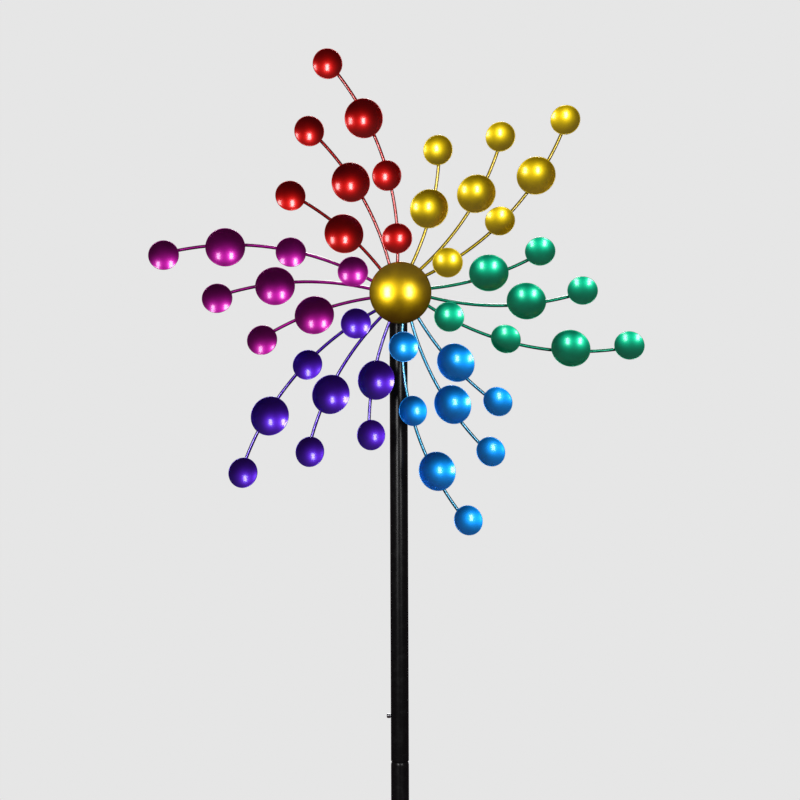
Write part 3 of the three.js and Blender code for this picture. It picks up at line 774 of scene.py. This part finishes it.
def necked_pole(node, seam):
    """A tube whose upper end is swaged down to a spigot, with a rounded shoulder."""
    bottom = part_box(node)[0].z
    neck = [
        (SPIGOT_RADIUS + (POLE_RADIUS - SPIGOT_RADIUS) * across, seam - SHOULDER_HEIGHT * (1 - up))
        for across, up in arc(0, 0, 1, 0, 90, 8)
    ]
    top = seam + SPIGOT_LENGTH
    profile = [
        (POLE_BORE, bottom),
        (POLE_RADIUS, bottom),
        *neck,
        (SPIGOT_RADIUS, top - SPIGOT_TIP),
        (SPIGOT_RADIUS - SPIGOT_TIP_INSET, top),
        (SPIGOT_BORE, top),
        (SPIGOT_BORE, seam - SHOULDER_HEIGHT / 2),
        (POLE_BORE, seam - SHOULDER_HEIGHT * 1.5),
    ]
    black_tube(f"{node}_tube", profile, node, node)


def top_cap():
    """The plastic plug in the pole's open top."""
    low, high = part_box("pole_top_cap")
    seat = POLE_TOP + GAP
    profile = [
        (0, low.z),
        (SPIGOT_RADIUS - 0.5 * MM, low.z),
        (SPIGOT_RADIUS, low.z + 1 * MM),
        (SPIGOT_RADIUS, seat),
        (POLE_RADIUS, seat),
        (POLE_RADIUS, seat + 1.5 * MM),
        (POLE_RADIUS - 2 * MM, seat + 3 * MM),
        (0, high.z),
    ]
    mesh = turned(filleted(profile, 0.8 * MM), about_pole, sides=POLE_ROUND)
    finished("pole_top_plug", mesh, "pole_head", "black_plastic", ["pole_top_cap"])


def clamp_screw(node):
    """A round-headed screw with a hexagon socket, on the left, its shank through the tube's wall."""
    low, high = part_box(node)
    height = (low.z + high.z) / 2
    outside, tip = -low.x, -high.x
    head = (high.z - low.z) / 2
    under_head = outside - SCREW_HEAD

    def place(radius, along, angle):
        return Vector((-along, radius * math.cos(angle), height + radius * math.sin(angle)))

    def socket_ring(depth):
        along = outside - depth
        return [place(hexagon_radius(SCREW_SOCKET, a), along, a) for a in circle(HEXAGON_ROUND)]

    rings = [socket_ring(SCREW_SOCKET_DEPTH), socket_ring(0.2 * MM)]
    edge, point = 0.9 * MM, 0.5 * MM
    profile = [
        (1.7 * MM, outside),
        (head - edge, outside),
        (head, outside - edge),
        (head, under_head),
        (SCREW_SHANK, under_head),
        (SCREW_SHANK, tip + point),
        (SCREW_SHANK - point, tip),
    ]
    rings += [round_ring(radius, along, place) for radius, along in filleted(profile, 0.8 * MM, steps=6)]
    finished(f"{node}_round_head", loft(rings), node, "zinc_plate", [node])


def plate(outlines, thickness, bevel):
    """A flat plate with rounded edges, from an outline and its holes, lists of (x, y)."""
    curve = bpy.data.curves.new("outline", "CURVE")
    curve.dimensions = "2D"
    curve.fill_mode = "BOTH"
    curve.extrude = thickness / 2 - bevel
    curve.bevel_depth = bevel
    curve.bevel_resolution = 3
    curve.offset = -bevel
    for points in outlines:
        spline = curve.splines.new("POLY")
        spline.points.add(len(points) - 1)
        for target, (x, y) in zip(spline.points, points):
            target.co = (x, y, 0, 1)
        spline.use_cyclic_u = True
    holder = bpy.data.objects.new("outline", curve)
    bpy.context.scene.collection.objects.link(holder)
    depsgraph = bpy.context.evaluated_depsgraph_get()
    mesh = bpy.data.meshes.new_from_object(holder.evaluated_get(depsgraph))
    bpy.data.objects.remove(holder)
    return cleaned(mesh)


SPIKES = {
    "right": (SPIKE_REACH, 0),
    "back": (0, SPIKE_REACH),
    "left": (-SPIKE_REACH, 0),
    "front": (0, -SPIKE_REACH),
}


def foot_cross():
    """The flat cross that is stepped on, with round ends and a hole for each spike."""
    low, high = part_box("foot_cross")
    reach, half = high.x, ARM_HALF_WIDTH
    outline = []
    for quarter in range(4):
        turn = math.pi / 2 * quarter
        direction = Matrix.Rotation(turn, 2)
        centre = direction @ Vector((reach - half, 0))
        outline += arc(centre.x, centre.y, half, math.degrees(turn) - 90, math.degrees(turn) + 90, 24)
        inner = direction @ Vector((half, half))
        outline.append((inner.x, inner.y))
    holes = [arc(x, y, SPIKE_RADIUS + GAP, 0, -345, 23) for x, y in SPIKES.values()]
    thickness = high.z - low.z
    mesh = plate([outline, *holes], thickness, PLATE_EDGE)
    mesh.transform(Matrix.Translation((0, 0, low.z + thickness / 2)))
    finished("foot_cross_plate", mesh, "foot", "black_enamel", ["foot_cross"])


def foot_spigot():
    """The short tube on the cross that the pole stands on, with its collar."""
    low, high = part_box("foot_spigot")
    collar_top = low.z + 3 * MM
    profile = [
        (SPIGOT_BORE, low.z),
        (COLLAR_RADIUS, low.z),
        (COLLAR_RADIUS, low.z + 1.5 * MM),
        (POLE_RADIUS, collar_top),
        (SPIGOT_RADIUS, collar_top),
        (SPIGOT_RADIUS, high.z - SPIGOT_TIP),
        (SPIGOT_RADIUS - SPIGOT_TIP_INSET, high.z),
        (SPIGOT_BORE, high.z),
    ]
    black_tube("foot_spigot_tube", profile, "foot", "foot_spigot")


def ground_spike(side, x, y):
    """A pointed rod with a flat button head."""
    node = f"{side}_ground_spike"
    low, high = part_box(node)
    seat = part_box("foot_cross")[1].z + GAP
    profile = [
        (0, low.z),
        (SPIKE_RADIUS, low.z + SPIKE_POINT),
        (SPIKE_RADIUS, seat),
        (SPIKE_HEAD, seat),
        (SPIKE_HEAD, seat + 1.5 * MM),
        (SPIKE_HEAD - 2 * MM, seat + 3 * MM),
        (0, high.z),
    ]
    mesh = turned(filleted(profile, 0.7 * MM), about_pole, sides=SPIKE_ROUND)
    mesh.transform(Matrix.Translation((x, y, 0)))
    finished(f"{node}_rod", mesh, "foot", "black_enamel", [node])


# ---- Studio ---------------------------------------------------------------------------------------

CAMERA_DISTANCE = 2.9
CAMERA_YAW = math.radians(3.2)  # the camera stands a little to the left
CAMERA_ROLL = math.radians(-0.2)
CAMERA_DROP = 129.2 * MM  # below the axle; the camera is level
LENS_FRAME = 979 * MM  # width of the view at the rotor
AIM_SIDE = 1.6 * MM
SOFTBOX_SIZE = (0.5, 0.95)
SOFTBOX_DISTANCE = 2.6
FLOOR_RADIUS = 2.6


def aimed(location, target):
    """The rotation of a camera or light that looks at a point."""
    return (target - location).to_track_quat("-Z", "Y").to_euler()


def camera():
    """The camera of the main view, level but for a slight roll."""
    data = bpy.data.cameras.new("camera")
    data.sensor_width = 36
    data.lens = data.sensor_width * CAMERA_DISTANCE / LENS_FRAME
    place = bpy.data.objects.new("camera", data)
    target = Vector((AIM_SIDE, 0, AXLE_HEIGHT - CAMERA_DROP))
    back = Vector((-math.sin(CAMERA_YAW), -math.cos(CAMERA_YAW), 0))
    place.location = target + back * CAMERA_DISTANCE
    view = aimed(place.location, target).to_matrix() @ Matrix.Rotation(CAMERA_ROLL, 3, "Z")
    place.rotation_euler = view.to_euler()
    bpy.context.scene.collection.objects.link(place)
    bpy.context.scene.camera = place


def softbox(name, side_angle, height, power):
    """An area light that faces the rotor, at an angle in degrees to the left of the camera's line."""
    data = bpy.data.lights.new(name, "AREA")
    data.shape = "RECTANGLE"
    data.size, data.size_y = SOFTBOX_SIZE
    data.energy = power
    lamp = bpy.data.objects.new(name, data)
    turn = CAMERA_YAW + math.radians(side_angle)
    target = Vector((0, 0, AXLE_HEIGHT))
    away = Vector((-math.sin(turn), -math.cos(turn), 0)) * SOFTBOX_DISTANCE
    lamp.location = target + away + Vector((0, 0, height))
    lamp.rotation_euler = aimed(lamp.location, target)
    bpy.context.scene.collection.objects.link(lamp)


def backdrop():
    """A studio brighter above than below lights the object. The camera sees a plain pale grey instead."""
    world = bpy.data.worlds.new("studio")
    bpy.context.scene.world = world
    world.use_nodes = True
    tree = world.node_tree
    background = tree.nodes["Background"]
    direction = tree.nodes.new("ShaderNodeTexCoord")
    split = tree.nodes.new("ShaderNodeSeparateXYZ")
    ramp = tree.nodes.new("ShaderNodeValToRGB")
    tree.links.new(direction.outputs["Generated"], split.inputs[0])
    height = tree.nodes.new("ShaderNodeMapRange")
    height.inputs["From Min"].default_value = -1
    height.inputs["From Max"].default_value = 1
    tree.links.new(split.outputs["Z"], height.inputs["Value"])
    tree.links.new(height.outputs["Result"], ramp.inputs["Fac"])
    stops = [
        (0.0, (0.040, 0.018, 0.030)),
        (0.35, (0.060, 0.036, 0.047)),
        (0.5, (0.090, 0.070, 0.080)),
        (0.65, (0.130, 0.115, 0.120)),
        (1.0, (0.190, 0.170, 0.175)),
    ]
    elements = ramp.color_ramp.elements
    elements[0].position, elements[1].position = stops[0][0], stops[-1][0]
    for position, _ in stops[1:-1]:
        elements.new(position)
    for element, (_, colour) in zip(sorted(elements, key=lambda e: e.position), stops):
        element.color = (*colour, 1)
    plain = tree.nodes.new("ShaderNodeRGB")
    plain.outputs[0].default_value = (0.791, 0.791, 0.791, 1)
    rays = tree.nodes.new("ShaderNodeLightPath")
    mix = tree.nodes.new("ShaderNodeMix")
    mix.data_type = "RGBA"
    tree.links.new(rays.outputs["Is Camera Ray"], mix.inputs[0])
    tree.links.new(ramp.outputs["Color"], mix.inputs[6])
    tree.links.new(plain.outputs[0], mix.inputs[7])
    tree.links.new(mix.outputs[2], background.inputs["Color"])


def floor():
    """A thin pale disc under the spikes' points, left out of reflections."""
    mesh = turned([(FLOOR_RADIUS, -10 * MM), (FLOOR_RADIUS, 0)], about_pole)
    disc = bpy.data.objects.new("floor", mesh)
    disc.location.z = LOWEST - 0.5 * MM
    mesh.materials.append(studio_floor("studio_floor"))
    bpy.context.scene.collection.objects.link(disc)
    disc.visible_glossy = False


def studio():
    """Two softboxes beside the camera, and a high one behind for the backs of the cups."""
    camera()
    softbox("left_softbox", side_angle=22.6, height=0.15, power=39)
    softbox("right_softbox", side_angle=-24.4, height=0.19, power=27)
    softbox("rear_softbox", side_angle=183, height=1.6, power=30)
    backdrop()
    floor()
    bpy.context.scene.view_settings.view_transform = "Standard"


# ---- Assembly -------------------------------------------------------------------------------------


def build():
    """Every piece of the spinner."""
    for i, colour in enumerate(GROUPS):
        for kind in ARM_KINDS:
            arm(colour, kind, 360 / len(GROUPS) * i)
    hub_dome()
    hub_barrel()
    bearing("rear")
    bearing("front")
    axle_bolt()
    hex_nut("axle_clamp_nut")
    hex_nut("axle_lock_nut", collar=LOCK_COLLAR)
    for node in ("rear_axle_washer", "front_axle_washer", "bearing_spacer"):
        plain_sleeve(node)
    saddle_washer("front_saddle_washer", 1)
    saddle_washer("rear_saddle_washer", -1)
    upper_pole()
    necked_pole("pole_middle", UPPER_SEAM)
    necked_pole("pole_lower", LOWER_SEAM)
    top_cap()
    for place in ("upper", "middle", "lower"):
        clamp_screw(f"{place}_pole_screw")
    foot_cross()
    foot_spigot()
    for side, (x, y) in SPIKES.items():
        ground_spike(side, x, y)


build()
studio()
